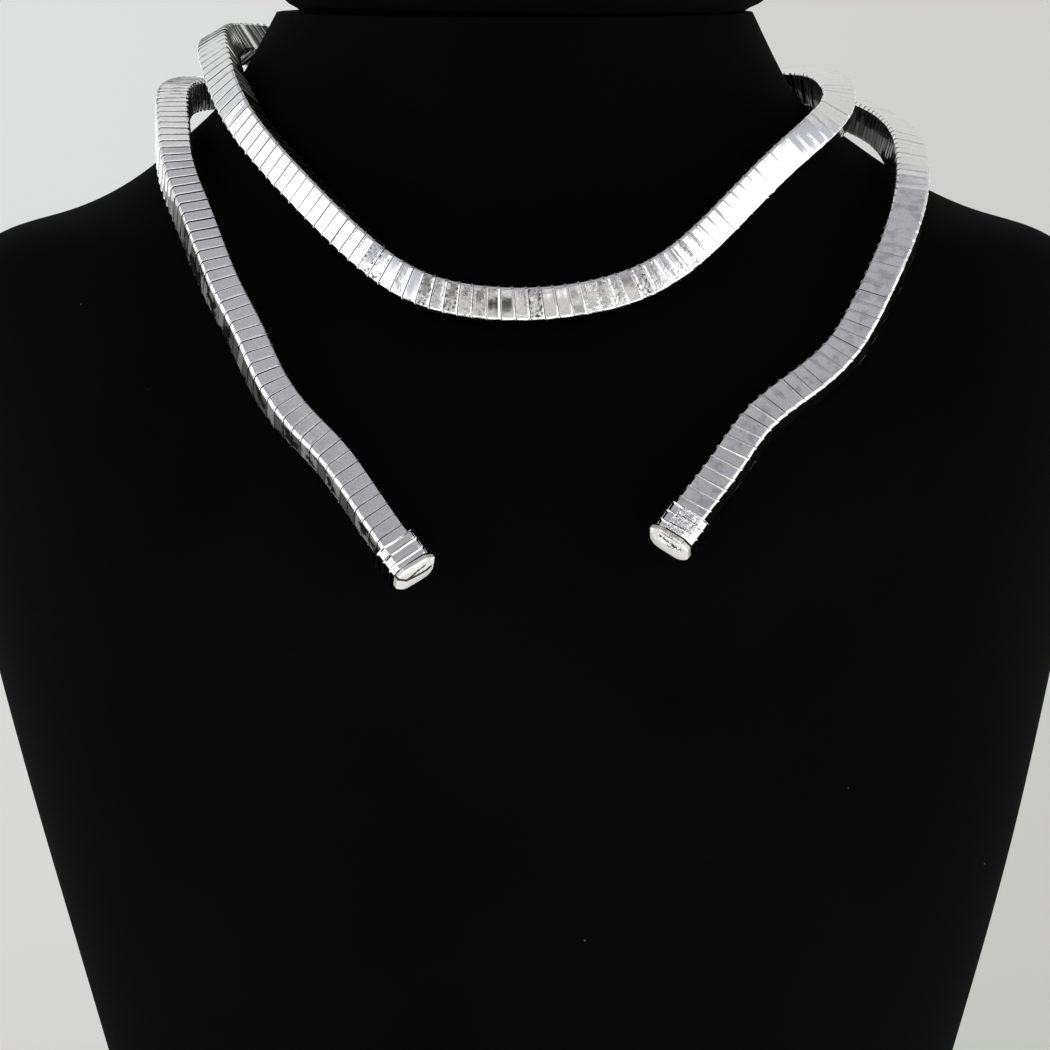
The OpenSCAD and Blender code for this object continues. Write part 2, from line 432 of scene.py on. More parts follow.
print(len(group.nodes), "nodes lay the strip's points")

# %% [markdown]
# The material needs to know where it is on the strip, so the tree stores a UV map: how many turns along,
# and how far across the strip. It is stored before the strip is closed into a tube of metal, so that
# both edges of the map keep their own values. The modifier's result is then made a plain mesh.

# %% Store the strip's map and end the tree
SAME_POINT = 0.002 * MM

uv = tree.node("ShaderNodeCombineXYZ", None, {"X": turn, "Y": pick(tree, column, ACROSS_MAP)}).out(0)
on_points = tree.node(
    "GeometryNodeStoreNamedAttribute", {"data_type": "FLOAT_VECTOR", "domain": "POINT"},
    {"Geometry": laid, "Name": "on_strip", "Value": uv},
).out(0)
stored = tree.node("GeometryNodeInputNamedAttribute", {"data_type": "FLOAT_VECTOR"}, {"Name": "on_strip"})
on_corners = tree.node(
    "GeometryNodeStoreNamedAttribute", {"data_type": "FLOAT2", "domain": "CORNER"},
    {"Geometry": on_points, "Name": "UVMap", "Value": stored.out("Attribute")},
).out(0)
unstored = tree.node(
    "GeometryNodeRemoveAttribute", None, {"Geometry": on_corners, "Name": "on_strip"},
).out(0)
closed = tree.node(
    "GeometryNodeMergeByDistance", None, {"Geometry": unstored, "Distance": SAME_POINT},
).out(0)
realized = tree.node("GeometryNodeRealizeInstances", None, {"Geometry": closed}).out(0)
finished = tree.node(
    "GeometryNodeSetMaterial", None, {"Geometry": realized, "Material": given.out("Material")},
).out(0)
tree.node("NodeGroupOutput", None, {"Geometry": finished})
print(len(group.nodes), "nodes wind the strip")


# %% Wind it and keep the plain mesh
def run_tree(piece, group, values):
    """Sets a tree's inputs on a piece, and leaves the piece with the tree's result as a plain mesh."""
    modifier = piece.modifiers.new("nodes", "NODES")
    modifier.node_group = group
    for item in group.interface.items_tree:
        if item.in_out == "INPUT" and item.name in values:
            modifier[item.identifier] = values[item.name]
    evaluated = piece.evaluated_get(bpy.context.evaluated_depsgraph_get())
    made = bpy.data.meshes.new_from_object(evaluated)
    piece.modifiers.clear()
    piece.data = made
    return made


tube_metal, metal_tree = new_material("tube_metal")
strip_mesh = run_tree(strip, group, {**STRIP_SIZES, "Material": tube_metal})


def close_ends(mesh, sharp_degrees):
    """Closes open ends, turns all faces outwards and keeps folds sharper than the angle crisp."""
    work = bmesh.new()
    work.from_mesh(mesh)
    bmesh.ops.holes_fill(work, edges=[e for e in work.edges if e.is_boundary])
    bmesh.ops.recalc_face_normals(work, faces=work.faces)
    open_edges = sum(e.is_boundary for e in work.edges)
    work.to_mesh(mesh)
    work.free()
    mesh.shade_smooth()
    mesh.set_sharp_from_angle(angle=math.radians(sharp_degrees))
    return open_edges


def weigh_normals(piece):
    """Keeps large faces flat and lets the narrow faces between them look round."""
    modifier = piece.modifiers.new("weigh", "WEIGHTED_NORMAL")
    modifier.keep_sharp = True
    evaluated = piece.evaluated_get(bpy.context.evaluated_depsgraph_get())
    piece.data = bpy.data.meshes.new_from_object(evaluated)
    piece.modifiers.clear()


print("open edges:", close_ends(strip_mesh, sharp_degrees=50), "faces:", len(strip_mesh.polygons))
weigh_normals(strip)

# %% [markdown]
# ## Bright metal
# The strip is polished, and plated white. What the eye takes for its colour is nearly all reflection, so
# the metal itself stays plain: one bright base, a roughness that changes a little from panel to panel,
# and shallow wrinkles left from winding. Under each lip the metal is painted dark: partly its own oxide
# where the plating doesn't reach, and partly painted shade in the seam.
# The sides that face the black velvet are painted dark and hardly metallic: painted shade, for the velvet
# that they reflect.

# %% Colours and helpers for metal
SILVER = (0.90, 0.90, 0.905)
GRAINY_SILVER = (0.76, 0.76, 0.77)
DULL_SILVER = (0.5, 0.5, 0.51)
# Near black, for the metal's own oxide and for painted shade in the seams, slits, hollows and sides
OXIDE_AND_SHADE = (0.035, 0.033, 0.036)
# Near black painted shade for the sides that face the black velvet
SHADE_BLACK = (0.012, 0.012, 0.012)


def shiny(tree, colour, roughness, bumps, metallic=1.0):
    """A metal surface; bumps is a list of (height, distance in metres)."""
    normal = None
    for height, distance in bumps:
        values = {"Height": height, "Distance": distance, "Strength": 1.0}
        if normal is not None:
            values["Normal"] = normal
        normal = tree.node("ShaderNodeBump", None, values).out("Normal")
    values = {
        "Base Color": colour, "Roughness": roughness, "Metallic": metallic, "Specular IOR Level": 0.05,
        "Normal": normal,
    }
    return tree.node("ShaderNodeBsdfPrincipled", None, values)


def noise_on(tree, coordinates, scale, detail=2.0):
    """Smooth noise round 0.5, in features of about 1 / scale metres."""
    values = {"Vector": coordinates, "Scale": scale, "Detail": detail}
    return tree.node("ShaderNodeTexNoise", None, values).out(0)


def chance_of(tree, number):
    return tree.node("ShaderNodeTexWhiteNoise", {"noise_dimensions": "1D"}, {"W": number}).out("Value")


print("metal helpers ready")

# %% Find the strip's regions
tree = metal_tree
strip_map = tree.node("ShaderNodeSeparateXYZ", None, {"Vector": tree.node("ShaderNodeUVMap").out(0)})
turn, across = strip_map.out("X"), strip_map.out("Y")
panel = (turn * SIDES).floor()
here = tree.node("ShaderNodeTexCoord").out("Object")
along_side = (turn * SIDES) % 1.0
flush = between(turn, 18, 27.2) + between(turn, 41, 47)
left_shoulder = between(turn, 7, 13) + between(turn, 32, 37)
right_arm = between(turn, 47, 54) * chance_of(tree, panel + 0.9).rise(0.2, 1.0)
# The dark line under each lip and on the lip's underside is painted: partly oxide, partly painted shade in
# the seam
hidden = (across + left_shoulder * 0.06 + right_arm * 0.05).rise(0.95, 0.975) * (1.0 - flush * 0.88)
hidden = hidden.sum("MAXIMUM", hidden, across.rise(-0.03, -0.1))
# Painted shade: the side towards the neck is painted near black where the tube passes the shoulders and
# the back of the neck, for the black velvet that it faces
side = panel % SIDES
lips = across.rise(0.05, 0.1)
# Which panels of the inner left pass get the painted shade, picked at random
wear_and_shade = chance_of(tree, panel + 0.3).rise(0.2, 0.3)
to_neck = side.over(0.5) * (1.0 - side.over(1.5))
underneath = side.over(1.5) * (1.0 - side.over(2.5))
outer_pass = between(turn, 9, 23)
inner_left = between(turn, 33, 41) * wear_and_shade
inner_right = between(turn, 41, 47)
painted_shade = (outer_pass * lips + inner_left * lips + inner_right) * to_neck
painted_shade = painted_shade + inner_left * lips * underneath
# So is the outer side of the left arm, in patches, and the lips' steps on the corner towards the neck; all
# of it painted shade
outer_side = side.over(2.5) * along_side.rise(0.56, 0.5) * turn.rise(turn_at(10), turn_at(8))
patchy = noise_on(tree, here, 240, 2.0).rise(0.36, 0.58)
patchy = patchy.sum("MAXIMUM", patchy, chance_of(tree, panel + 0.2).rise(0.1, 0.5) * 0.3 + 0.62)
painted_shade = painted_shade + outer_side * patchy
on_corner = (1.0 - side.over(0.5)) * along_side.rise(0.5, 0.6) * turn.rise(turn_at(24), turn_at(25))
painted_shade = painted_shade + on_corner * across.rise(0.03, 0.05) * across.rise(0.22, 0.17) * 0.75
painted_shade = painted_shade.sum("MINIMUM", painted_shade, 1.0)
print("regions ready")

# %% Make the tube's metal
# Fine creases lie near the panels' edges, more on some panels than on others, and most on the front loop
front_loop = between(turn, 26, 30.5)
near_edge = (across - PANEL_MIDDLE).abs().rise(0.16, 0.4)
near_edge = near_edge.sum("MAXIMUM", near_edge, (along_side - 0.5).abs().rise(0.3, 0.45))
creased = chance_of(tree, panel + 0.5).rise(0.2, 0.9) * (near_edge * 0.7 + 0.3) * (0.5 + front_loop)
grain = noise_on(tree, here, 2100, 2.0).rise(0.35, 0.65)
specks = noise_on(tree, here, 1500, 3.0).rise(0.50, 0.57) * front_loop * (near_edge * 0.75 + 0.25)
specks = specks * chance_of(tree, panel + 0.7).rise(0.58, 0.74) * lips
dull = noise_on(tree, here, 380, 3.0).rise(0.5, 0.66) * between(turn, 46, 55) * lips
silver = tree.mix(grain * 0.6, SILVER, GRAINY_SILVER)
silver = tree.mix(dull * 0.6, silver, DULL_SILVER)
silver = tree.mix(specks * 0.88, silver, OXIDE_AND_SHADE)
# The seams get oxide and painted shade, and the sides that face the velvet get painted shade, hardly
# metallic
colour = tree.mix(painted_shade, tree.mix(hidden, silver, OXIDE_AND_SHADE), SHADE_BLACK)
roughness = 0.04 + chance_of(tree, panel) * 0.05 + noise_on(tree, here, 260) * 0.08 + hidden * 0.4
dish = (across - PANEL_MIDDLE) * (across - PANEL_MIDDLE)
waves = noise_on(tree, here, 300)
creases = noise_on(tree, here, 1300, 3.0) * creased
bumps = [(dish, 0.06 * MM), (waves, 0.03 * MM), (creases, 0.09 * MM)]
finish_material(tree, shiny(tree, colour, roughness, bumps, 1.0 - painted_shade * 0.95))
print("tube metal:", len(tube_metal.node_tree.nodes), "nodes")

# %% [markdown]
# ## The wound end caps
# A cap is wound from the same strip, on a wider square with cut corners. Three bands each flare into a
# bright rim towards the tube, and a small plate closes the tip, where the strip's last end is folded
# over. Here a cap is a loft of square rings: the profile gives the depth of each ring, which is quicker
# to adjust to the photograph than a real winding would be.

# %% Lay out a cap's rings
CAP_WIDTH = 9.8
PLATE_CUT = 2.8
BAND_CUT = 1.5
RIM_LEVEL = 1.9
PLATE_LEVEL = 1.0
PLATE_INSET = 0.1
PLATE_DOME = 0.8
PLATE_RINGS = 16
# On the side away from the middle of the chest the plate is narrower, and its lower corner is cut more
OUTER_INSET = 0.45
OUTER_CORNER = 5.9
# Levels where the bands start, from the plate to the open end
BAND_LEVELS = [2.05, 3.6, 5.85, 7.9]
# One band: millimetres over its start (or, with a minus, under its end) and the depth under the rim
BAND_PROFILE = [
    (0.0, 0.75), (0.1, 0.62), (0.18, 0.42), (0.3, 0.37), (0.6, 0.36), (-0.44, 0.35), (-0.37, 0.30),
    (-0.24, 0.08), (-0.17, 0.01), (-0.11, 0.0), (-0.06, 0.06), (-0.02, 0.3), (-0.01, 0.7),
]


def cut_square(half, cut, per_side=9, per_cut=5, soft=0.35):
    """Points round a square with cut corners, each point of it softened."""
    corners = []
    for k in range(4):
        turn = Matrix.Rotation(k * math.pi / 2, 2)
        corners += [turn @ Vector((half, half - cut)), turn @ Vector((half - cut, half))]
    ring = []
    for k, corner in enumerate(corners):
        before, after = corners[k - 1], corners[(k + 1) % 8]
        start = corner + (before - corner).normalized() * min(soft, 0.45 * (before - corner).length)
        end = corner + (after - corner).normalized() * min(soft, 0.45 * (after - corner).length)
        ring += [start, (start + end) / 4 + corner / 2, end]
        stop = after + (corner - after).normalized() * min(soft, 0.45 * (after - corner).length)
        count = per_cut if k % 2 == 0 else per_side
        ring += [end.lerp(stop, n / (count + 1)) for n in range(1, count + 1)]
    return ring


def skin_rings(name, rings):
    """A closed mesh over rings of points that all have the same count."""
    count = len(rings[0])
    faces = []
    for low in range(0, (len(rings) - 1) * count, count):
        high = low + count
        for j in range(count):
            k = (j + 1) % count
            faces.append((low + j, low + k, high + k, high + j))
    faces += [tuple(reversed(range(count))), tuple(range((len(rings) - 1) * count, len(rings) * count))]
    mesh = bpy.data.meshes.new(name)
    mesh.from_pydata([p for ring in rings for p in ring], [], faces)
    return mesh


def cap_rings():
    """Rings of the cap in millimetres, from the middle of its plate to the inside of its open end."""
    half = CAP_WIDTH / 2
    plate = half - PLATE_INSET
    shares = [k / PLATE_RINGS for k in range(1, PLATE_RINGS)]
    profile = [(PLATE_LEVEL, plate * share, PLATE_CUT * share) for share in shares]
    profile += [(PLATE_LEVEL + 0.03, plate - 0.08, PLATE_CUT), (PLATE_LEVEL + 0.12, plate, PLATE_CUT)]
    profile += [(RIM_LEVEL - 0.1, plate, PLATE_CUT - 0.3), (RIM_LEVEL, plate - 0.05, PLATE_CUT - 0.3)]
    profile += [(RIM_LEVEL + 0.1, plate - 0.3, PLATE_CUT - 0.3)]
    profile += [(RIM_LEVEL + 0.13, half - 0.8, PLATE_CUT - 0.6)]
    for low, high in zip(BAND_LEVELS, BAND_LEVELS[1:]):
        for step, depth in BAND_PROFILE:
            profile.append(((low if step >= 0 else high) + step, half - depth, BAND_CUT))
    top = BAND_LEVELS[-1]
    inside = half - 0.74
    profile += [(top - 0.01, half - 0.72, BAND_CUT)]
    profile += [(top - 0.3, inside, 0.7), (BAND_LEVELS[0], inside, 0.7)]
    return [[Vector((p.x, p.y, z)) for p in cut_square(h, min(cut, 0.45 * h))] for z, h, cut in profile]


print(len(cap_rings()), "rings in a cap")


# %% Shape the plates and set the caps on the tips
def plate_rise(x, y):
    """How far the plate is domed at a place, like a low pillow."""
    half = CAP_WIDTH / 2 - PLATE_INSET
    return PLATE_DOME * max(0.0, 1 - abs(x / half) ** 3) * max(0.0, 1 - abs(y / half) ** 3)


def stand_on_route(place, after, aim):
    """Turns and moves a cap's own space, in millimetres, to a tip of the route."""
    along = (after - place).normalized()
    face = (aim - aim.dot(along) * along).normalized()
    side = face.cross(along)
    turned = Matrix((side, face, along)).transposed().to_4x4()
    return Matrix.Translation(place) @ turned @ Matrix.Scale(MM, 4)


def left_fold(x, y):
    """The strip's end on the left plate: a wedge that dips under the plate's upper half."""
    low = 1.24 + (x - 2.26) * 0.164
    if x > -0.3:
        high = 1.24 + (2.26 - x) * 0.414
    else:
        high = 2.3 - (x + 0.3) * 0.27 if x > -2.07 else 2.77 - (x + 2.07) * 1.2
    return 0.3 * (y - low) if x < 2.26 and low < y < high else 0.0


def right_fold(x, y):
    """The crumpled end on the right plate: a bright slope at one side and a jagged crease."""
    if x > 2.3 and y > 0.2:
        return 0.3 * (y - 0.2)
    jagged = noise.noise(Vector((x * 1.2, y * 1.5, 7)))
    return 0.75 * jagged * max(0.0, 1 - abs(y - 2.3) / 1.4) if abs(x) < 3.2 else 0.0


def make_cap(name, stand, dents, fold, outer):
    """One cap at a tip; outer is 1 or -1, the side of the plate whose lower corner is cut the most."""
    rings = cap_rings()
    own = [p.copy() for ring in rings for p in ring]
    shaped = []
    for p in own:
        q = p.copy()
        if p.z < RIM_LEVEL + 0.05:
            q.x = outer * min(outer * q.x, CAP_WIDTH / 2 - OUTER_INSET)
            over = max(0.0, outer * q.x - q.y - OUTER_CORNER)
            q.x -= outer * over / 2
            q.y += over / 2
        if p.z < PLATE_LEVEL + 0.02:
            q.z -= plate_rise(p.x, p.y)
            if abs(p.x) < 4.4 and p.y < 4.4:
                q.z += fold(p.x, p.y)
        over_rim = (p.z - RIM_LEVEL) / 0.5
        under_top = BAND_LEVELS[-1] + 0.4 - p.z
        on_bands = min(1.0, max(0.0, over_rim)) * min(1.0, max(0.0, under_top))
        q.z -= 0.06 * p.x * on_bands
        middle = math.exp(-((p.x / 2.4) ** 2) - ((p.z - 5.0) / 2.0) ** 2) if p.y > 3 else 0.0
        q.y += dents * middle * noise.noise(Vector((p.x * 1.1, p.z * 1.1, 3)))
        if on_bands > 0.5:
            q.z += 0.12 * noise.noise(Vector((p.x * 0.5, p.y * 0.5, p.z * 0.4 + 11)))
        shaped.append(q)
    count = len(rings[0])
    mesh = skin_rings(name, [shaped[k:k + count] for k in range(0, len(shaped), count)])
    local = mesh.attributes.new("local", "FLOAT_VECTOR", "POINT")
    local.data.foreach_set("vector", [x for p in own for x in p])
    mesh.transform(stand)
    cap = bpy.data.objects.new(name, mesh)
    bpy.context.scene.collection.objects.link(cap)
    close_ends(mesh, sharp_degrees=28)
    weigh_normals(cap)
    return cap


left_stand = stand_on_route(route_points[0], route_points[1], route_aims[0])
right_stand = stand_on_route(route_points[-1], route_points[-2], route_aims[-1])
left_cap = make_cap("left_wound_cap", left_stand, 0.0, left_fold, 1)
right_cap = make_cap("right_wound_cap", right_stand, 0.7, right_fold, -1)
print("caps:", len(left_cap.data.polygons), "faces each")

# %% [markdown]
# ## The caps' metal
# The caps have the strip's metal, but they took more wear: the folded end leaves slits on the plate,
# which is a paler satin, and the right cap is rumpled. The slits are painted shade, drawn dark in the
# material because they are narrower than the mesh: a place is dark where its distance to a line is small.
# The hollow where each band starts gets a painted dark line of shade as well.

# %% Colours of the caps and the distance to a slit
PLATE_CREAM = (0.97, 0.96, 0.93)
PLATE_SHADED = (0.74, 0.735, 0.70)
SHADED_PLATE_WALL = (0.56, 0.555, 0.53)
SCUFFED = (0.3, 0.3, 0.31)


def distance_to_line(x, y, start, end):
    """Distance from (x, y) to the line between two points."""
    (ax, ay), (bx, by) = start, end
    dx, dy = bx - ax, by - ay
    squared_length = dx * dx + dy * dy
    px, py = x - ax, y - ay
    share = px * (dx / squared_length) + py * (dy / squared_length)
    share = share.sum("ADD", share, 0.0, clamp=True)
    gap_x, gap_y = px - share * dx, py - share * dy
    squared = gap_x * gap_x + gap_y * gap_y
    return squared.sum("SQRT", squared)


print("slit helper ready")


# %% Make both caps' metals
def cap_metal(name, slits, jagged, wear_and_shade):
    """One cap's metal; jagged is how crooked its slits are, and worn is 1 where it is rumpled."""
    material, tree = new_material(name)
    own = tree.node("ShaderNodeAttribute", {"attribute_name": "local"}).out("Vector")
    split = tree.node("ShaderNodeSeparateXYZ", None, {"Vector": own})
    x, y, z = split.out("X"), split.out("Y"), split.out("Z")
    rough = noise_on(tree, own, 1.6, 3.0) - 0.5
    on_plate = z.rise(RIM_LEVEL + 0.04, RIM_LEVEL)
    # Painted shade: each slit is drawn dark, for the shade inside the narrow gap
    slit = None
    for start, end, width in slits:
        distance = distance_to_line(x + rough * jagged, y + rough * jagged * 1.3, start, end)
        near = distance.rise(width, width * 0.45)
        slit = near if slit is None else slit.sum("MAXIMUM", slit, near)
    fragments = 1.0 - (1.0 - noise_on(tree, own, 2.4, 2.0).rise(0.42, 0.54)) * wear_and_shade
    slit = slit * on_plate * fragments
    # Painted shade: a dark line in the hollow where each band starts
    groove_shade = None
    for level in BAND_LEVELS:
        near = (z - level - 0.04).abs().rise(0.15, 0.08)
        groove_shade = near if groove_shade is None else groove_shade.sum("MAXIMUM", groove_shade, near)
    on_front = y.rise(4.2, 4.5)
    smooth_ends = x.rise(0.8, 1.9) + x.rise(-1.4, -2.6) * 0.6
    rumpled = on_front * (1.0 - smooth_ends * 0.85)
    scuffs = noise_on(tree, own, 1.5, 2.0).rise(0.42, 0.64) * rumpled
    patches = noise_on(tree, own, 0.9, 2.0) * rumpled
    dark = slit.sum("MAXIMUM", slit, groove_shade)
    # Painted shade: the plate is painted darker towards its upper edge, and darker still on the wall
    # between the plate and the rim
    on_wall = z.rise(PLATE_LEVEL + 0.05, PLATE_LEVEL + 0.2)
    plate_colour = tree.mix(y.rise(1.6, 3.6) * 0.6, PLATE_CREAM, PLATE_SHADED)
    plate_colour = tree.mix(on_wall, plate_colour, SHADED_PLATE_WALL)
    colour = tree.mix(dark, tree.mix(on_plate, SILVER, plate_colour), OXIDE_AND_SHADE)
    # Painted shade: the cap's sides are painted dark, for the black velvet that they reflect
    painted_dark_side = x.abs().rise(4.3, 4.45) * x.abs().rise(4.72, 4.65) * y.rise(3.2, 2.9) * (1.0 - on_plate)
    colour = tree.mix(painted_dark_side * 0.75, colour, OXIDE_AND_SHADE)
    colour = tree.mix(scuffs * (0.15 + wear_and_shade * 0.3), colour, SCUFFED)
    roughness = 0.05 + noise_on(tree, own, 0.5) * 0.1 * on_front + on_plate * 0.2 + dark * 0.4
    bumps = [
        (scuffs * wear_and_shade, 0.2 * MM), (patches * wear_and_shade, 1.2 * MM), (noise_on(tree, own, 0.5), 0.05 * MM),
        (noise_on(tree, own, 1.3, 2.0) * on_plate, 0.12 * MM),
    ]
    finish_material(tree, shiny(tree, colour, roughness, bumps, 1.0 - on_plate * 0.7))
    return material


# Each slit's two ends and its width, in millimetres on the plate
LEFT_SLITS = [
    ((2.3, 1.3), (-0.3, 2.5), 0.85), ((-0.3, 2.5), (-2.1, 2.9), 0.6), ((2.3, 1.2), (-3.5, 0.3), 0.6),
    ((2.3, 1.25), (4.4, 3.0), 0.5),
]
RIGHT_SLITS = [
    ((2.1, 3.4), (0.65, 2.9), 0.6), ((0.65, 2.9), (-3.0, 2.4), 0.55), ((0.3, 1.7), (-1.6, 1.3), 0.34),
]
left_metal = cap_metal("left_cap_metal", LEFT_SLITS, 0.3, 0.0)
right_metal = cap_metal("right_cap_metal", RIGHT_SLITS, 1.2, 1.0)
left_cap.data.materials.append(left_metal)
right_cap.data.materials.append(right_metal)
print("cap metals ready")

# %% [markdown]
# ## The velvet bust
# The bust is a padded form covered with black velvet: a chest that widens downwards, a round neck, and a
# cap on the neck with a seam under it. Each table row is a level of the form with its half width, its
# depth in front and at the back, and how far it is moved sideways.

# %% Loft the bust
BUST = [
    (0, 86.5, 62, 44, 1.7), (25, 93.5, 67, 45, 1.7), (50, 100.4, 73, 46, 1.7),
    (75, 107.1, 79, 47, 1.4), (100, 113, 84.5, 48, 0.7), (120, 117.4, 88, 49, 0.2),
    (138, 121, 89, 50, 0), (154, 123.2, 87, 50, 0), (168, 124.8, 82.5, 50.5, 0),
    (180, 125.5, 76.5, 51, 0), (190, 124.8, 68.5, 51, 0), (198, 122.8, 60.5, 51, 0),
    (204.5, 118.8, 54.5, 51, -0.2), (209, 110.5, 51.5, 50.5, -0.1), (211.5, 99, 50.5, 50.5, 0),
    (216, 88.8, 49, 50, 0), (221.5, 79.8, 48, 50, -0.8), (228, 71.7, 47, 49, -1.6),
    (234.5, 63.3, 46.5, 48, -2.6), (241, 58.8, 46, 47, -2.2), (248, 55.1, 45.5, 46.5, -2),
    (255, 51.6, 45.5, 46, -1.8),
]
NECK_CAP = [
    (254, 46.5, 41, 41.5, -0.2), (256, 49.2, 44, 44.5, 0), (256.8, 50.9, 45.6, 46.1, 0.2),
    (257.5, 51.8, 46.5, 47, 0.3), (259, 52.7, 47.5, 48, 0.4), (262, 52.7, 47.5, 48, 0.4),
    (265, 52.7, 47.5, 48, 0.4), (266.4, 52.2, 46.9, 47.4, 0.4), (267.3, 51.1, 45.8, 46.3, 0.4),
    (268, 49.3, 44, 44.5, 0.4),
]
BUST_STEPS = 6
ROUND_STEPS = 160


def bust_ring(row):
    level, half_width, front, back, sideways = row
    ring = []
    for k in range(ROUND_STEPS):
        a = 2 * math.pi * k / ROUND_STEPS
        depth = front if math.sin(a) < 0 else back
        ring.append(Vector((sideways + half_width * math.cos(a), depth * math.sin(a), level)) * MM)
    return ring


bust_rows = smooth_table(BUST, BUST_STEPS)
bust_mesh = skin_rings("velvet_bust", [bust_ring(row) for row in bust_rows])
cap_mesh = skin_rings("velvet_neck_cap", [bust_ring(row) for row in NECK_CAP])
bust = bpy.data.objects.new("velvet_bust", bust_mesh)
neck_cap = bpy.data.objects.new("velvet_neck_cap", cap_mesh)
for piece in (bust, neck_cap):
    bpy.context.scene.collection.objects.link(piece)
    close_ends(piece.data, sharp_degrees=50)
print("bust:", len(bust_mesh.polygons) + len(cap_mesh.polygons), "faces")

# %% [markdown]
# Velvet is a pile of short threads that stand up from the cloth. It looks black where the eye looks down
# between the threads and lighter at the edges, where it meets their sides. The base is nearly black, a
# little sheen stands for the threads' sides, and a fine bump for the pile. Lint catches on velvet, so a
# few pale specks lie on it.

# %% Make the velvet
velvet, tree = new_material("velvet")
here = tree.node("ShaderNodeTexCoord").out("Object")
pile = noise_on(tree, here, 2600, 2.0)
patches = noise_on(tree, here, 14, 3.0)
cells = tree.node("ShaderNodeTexVoronoi", None, {"Vector": here, "Scale": 95.0})
lint = cells.out("Distance").rise(0.026, 0.016) * chance_of(tree, cells.out("Color") * 91.7).over(0.55)
base = tree.mix(patches.rise(0.35, 0.65), (0.0012, 0.0012, 0.0013), (0.0017, 0.0017, 0.0018))
base = tree.mix(lint * 0.6, base, (0.12, 0.12, 0.13))
bump = tree.node("ShaderNodeBump", None, {"Height": pile, "Distance": 0.25 * MM, "Strength": 0.6})
finish_material(tree, tree.node("ShaderNodeBsdfPrincipled", None, {
    "Base Color": base, "Roughness": 0.9, "Specular IOR Level": 0.02, "Sheen Weight": 0.0028,
    "Sheen Roughness": 0.4, "Normal": bump.out("Normal"),
}))
bust_mesh.materials.append(velvet)
cap_mesh.materials.append(velvet)
print("velvet ready")

# %% [markdown]
# ## The pale ground
# The photograph has a plain pale ground, a little brighter on the left. A very large floor gives it. It
# shines a little by itself, so that its tone stays even, and is lit as well, so that the bust stands on
# it.

# %% Lay the floor
FLOOR_HALF = 90
floor_corners = [(x * FLOOR_HALF, y * FLOOR_HALF, 0) for x, y in ((-1, -1), (1, -1), (1, 1), (-1, 1))]
floor_mesh = bpy.data.meshes.new("floor")
floor_mesh.from_pydata(floor_corners, [], [(0, 1, 2, 3)])
floor = bpy.data.objects.new("floor", floor_mesh)
bpy.context.scene.collection.objects.link(floor)
paper, tree = new_material("pale_ground")
split = tree.node("ShaderNodeSeparateXYZ", None, {"Vector": tree.node("ShaderNodeTexCoord").out("Object")})
# How far each place is in front of the camera, and at least a little
away = split.out("Y") + CAMERA_DISTANCE
away = away.sum("MAXIMUM", away, 0.2)
sideways = (split.out("X") / away).rise(-0.10, 0.10)
upwards = (CAMERA_HEIGHT / away).rise(0.235, 0.03)
low = tree.mix(sideways, (0.552, 0.552, 0.535), (0.438, 0.443, 0.41))
high = tree.mix(sideways, (0.59, 0.60, 0.595), (0.495, 0.495, 0.475))
spread = split.out("X").abs()
# Beside and in front of the bust, where the camera doesn't see it, the ground is brightly lit
lit = spread.rise(0.35, 1.1) * (spread / away).rise(0.14, 0.4)
lit = lit.sum("MAXIMUM", lit, split.out("Y").rise(0.03, -0.06))
glow = tree.mix(lit, tree.mix(upwards, low, high), (1.25, 1.25, 1.235))
finish_material(tree, tree.node("ShaderNodeBsdfPrincipled", None, {
    "Base Color": (0.2, 0.2, 0.2, 1), "Roughness": 0.9, "Specular IOR Level": 0.0,
    "Emission Color": glow, "Emission Strength": 1.0,
}))
floor_mesh.materials.append(paper)
print("floor ready")

# %% [markdown]
# ## The light
# Polished metal shows the room, so the room is what has to be right. It is painted on the world as soft
# areas: two large bright screens at the left and right, a grey ceiling, the pale ground behind, and a
# cream front with the dark shape of the camera in it. Directions are the world's own: -Y is the front.

# %% Paint the world
world = bpy.data.worlds.new("studio")
bpy.context.scene.world = world
world.use_nodes = True
world.node_tree.nodes.clear()
tree = Tree(world.node_tree)
direction = tree.node("ShaderNodeTexCoord").out("Generated")
split = tree.node("ShaderNodeSeparateXYZ", None, {"Vector": direction})
x, y, z = split.out("X"), split.out("Y"), split.out("Z")


def blob(across, high, radius, soft=0.4):
    """1 round a direction on the front, from how far it lies across and how high."""
    dx, dz = x - across, z - high
    squared = dx * dx + dz * dz
    return squared.sum("SQRT", squared).rise(radius, radius * soft) * y.rise(0.0, -0.1)


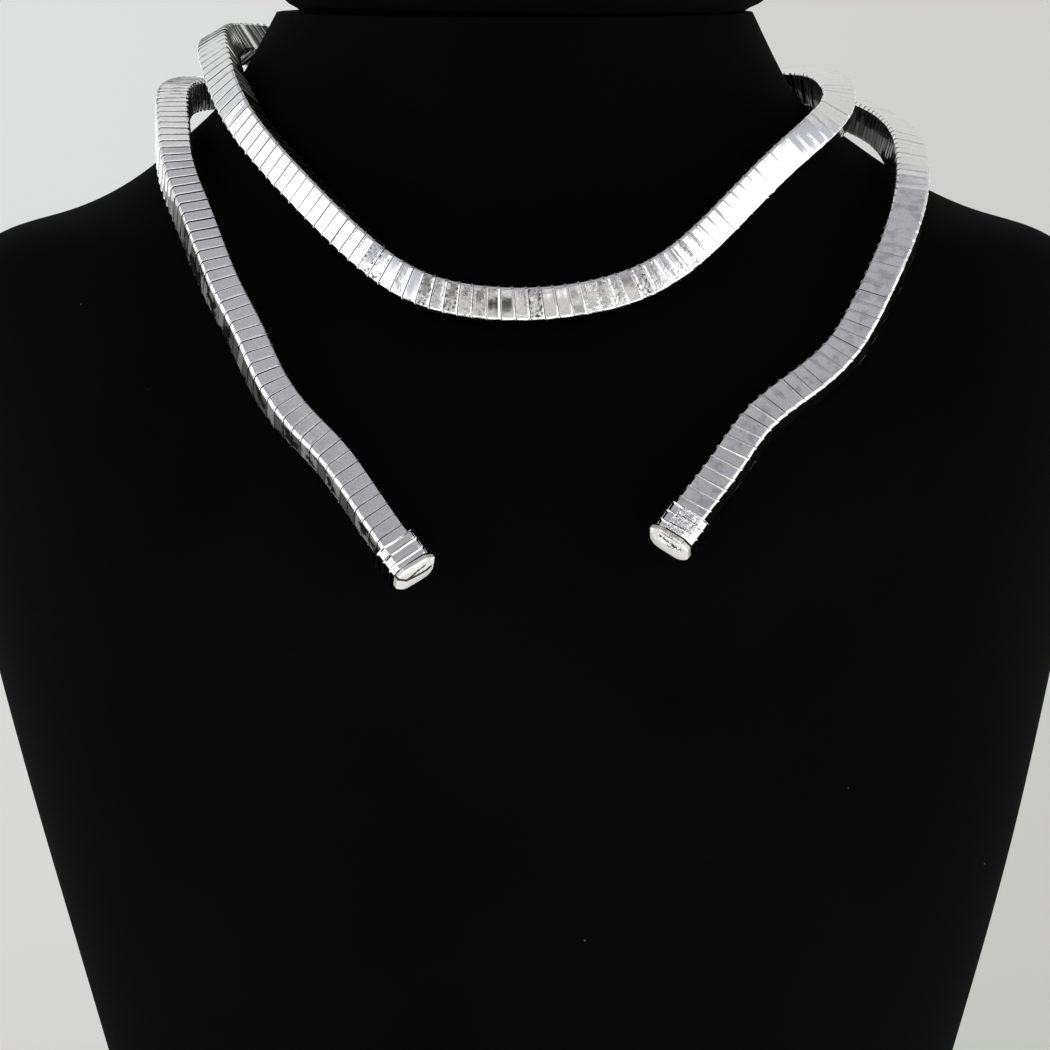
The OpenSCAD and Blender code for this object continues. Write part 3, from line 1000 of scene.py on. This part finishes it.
clouds = noise_on(tree, direction, 7.0, 2.0)
clutter = noise_on(tree, direction, 16.0, 2.0)
light = tree.mix(x.rise(-0.05, 0.2), (0.385, 0.38, 0.405), (0.42, 0.415, 0.445))
light = tree.mix(z.rise(0.88, 0.94), light, (0.45, 0.445, 0.47))
cloudy = x.rise(0.1, -0.05) * z.rise(0.4, 0.6)
light = tree.mix(clouds.rise(0.52, 0.66) * cloudy * 0.8, light, (0.62, 0.615, 0.63))
light = tree.mix(clouds.rise(0.46, 0.34) * cloudy * 0.7, light, (0.2, 0.2, 0.22))
to_gap = x.abs().rise(0.40, 0.55) * z.rise(0.80, 0.68)
light = tree.mix(to_gap, light, (0.58, 0.58, 0.65))
in_front = x.abs().rise(0.62, 0.54) * y.rise(0.0, -0.2)
light = tree.mix(in_front * z.rise(0.48, 0.34), light, (0.65, 0.64, 0.615))
things = in_front * z.rise(0.5, 0.4) * (z - 0.13).abs().rise(0.07, 0.13)
light = tree.mix(things * clutter.rise(0.50, 0.56), light, (0.05, 0.05, 0.05))
light = tree.mix(things * clutter.rise(0.44, 0.38), light, (1.3, 1.3, 1.28))
light = tree.mix(blob(-0.137, 0.19, 0.085), light, (0.03, 0.03, 0.03))
light = tree.mix(blob(-0.27, 0.12, 0.05) * 0.7, light, (0.10, 0.10, 0.10))
light = tree.mix(blob(0.36, 0.16, 0.07) * 0.7, light, (0.10, 0.10, 0.10))
back = tree.mix(x.rise(-0.3, 0.3), (0.76, 0.765, 0.76), (0.68, 0.68, 0.665))
light = tree.mix(y.rise(0.26, 0.34) * z.rise(0.84, 0.76), light, back)
left_screen = (x * -1.0).rise(0.66, 0.70) * z.rise(0.69, 0.65) * (y + z * 0.4).rise(0.46, 0.41)
right_screen = x.rise(0.60, 0.64) * z.rise(0.69, 0.65) * (y + z * 0.48).rise(0.33, 0.28)
light = tree.mix(left_screen, light, (1.75, 1.75, 1.75))
light = tree.mix(right_screen, light, (1.7, 1.7, 1.7))
background = tree.node("ShaderNodeBackground", None, {"Color": light, "Strength": 1.0})
tree.node("ShaderNodeOutputWorld", None, {"Surface": background.out(0)})
bpy.context.scene.view_settings.view_transform = "Standard"
print("world:", len(world.node_tree.nodes), "nodes")

# %% [markdown]
# ## Join the pieces to the frame
# The bust, the strip and the caps all belong to the one body of the frame. Each stands for its packed
# solids, which aren't shown then.

# %% Put everything on the frame
for piece, finish, nodes in [
    (bust, "velvet", ["neck_bust"]), (neck_cap, "velvet", ["neck_bust"]),
    (strip, "tube_metal", ["wound_chain_left", "wound_chain_right"]),
    (left_cap, "cap_metal", ["left_end_cap"]), (right_cap, "cap_metal", ["right_end_cap"]),
]:
    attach(piece, "root")
    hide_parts(*nodes)
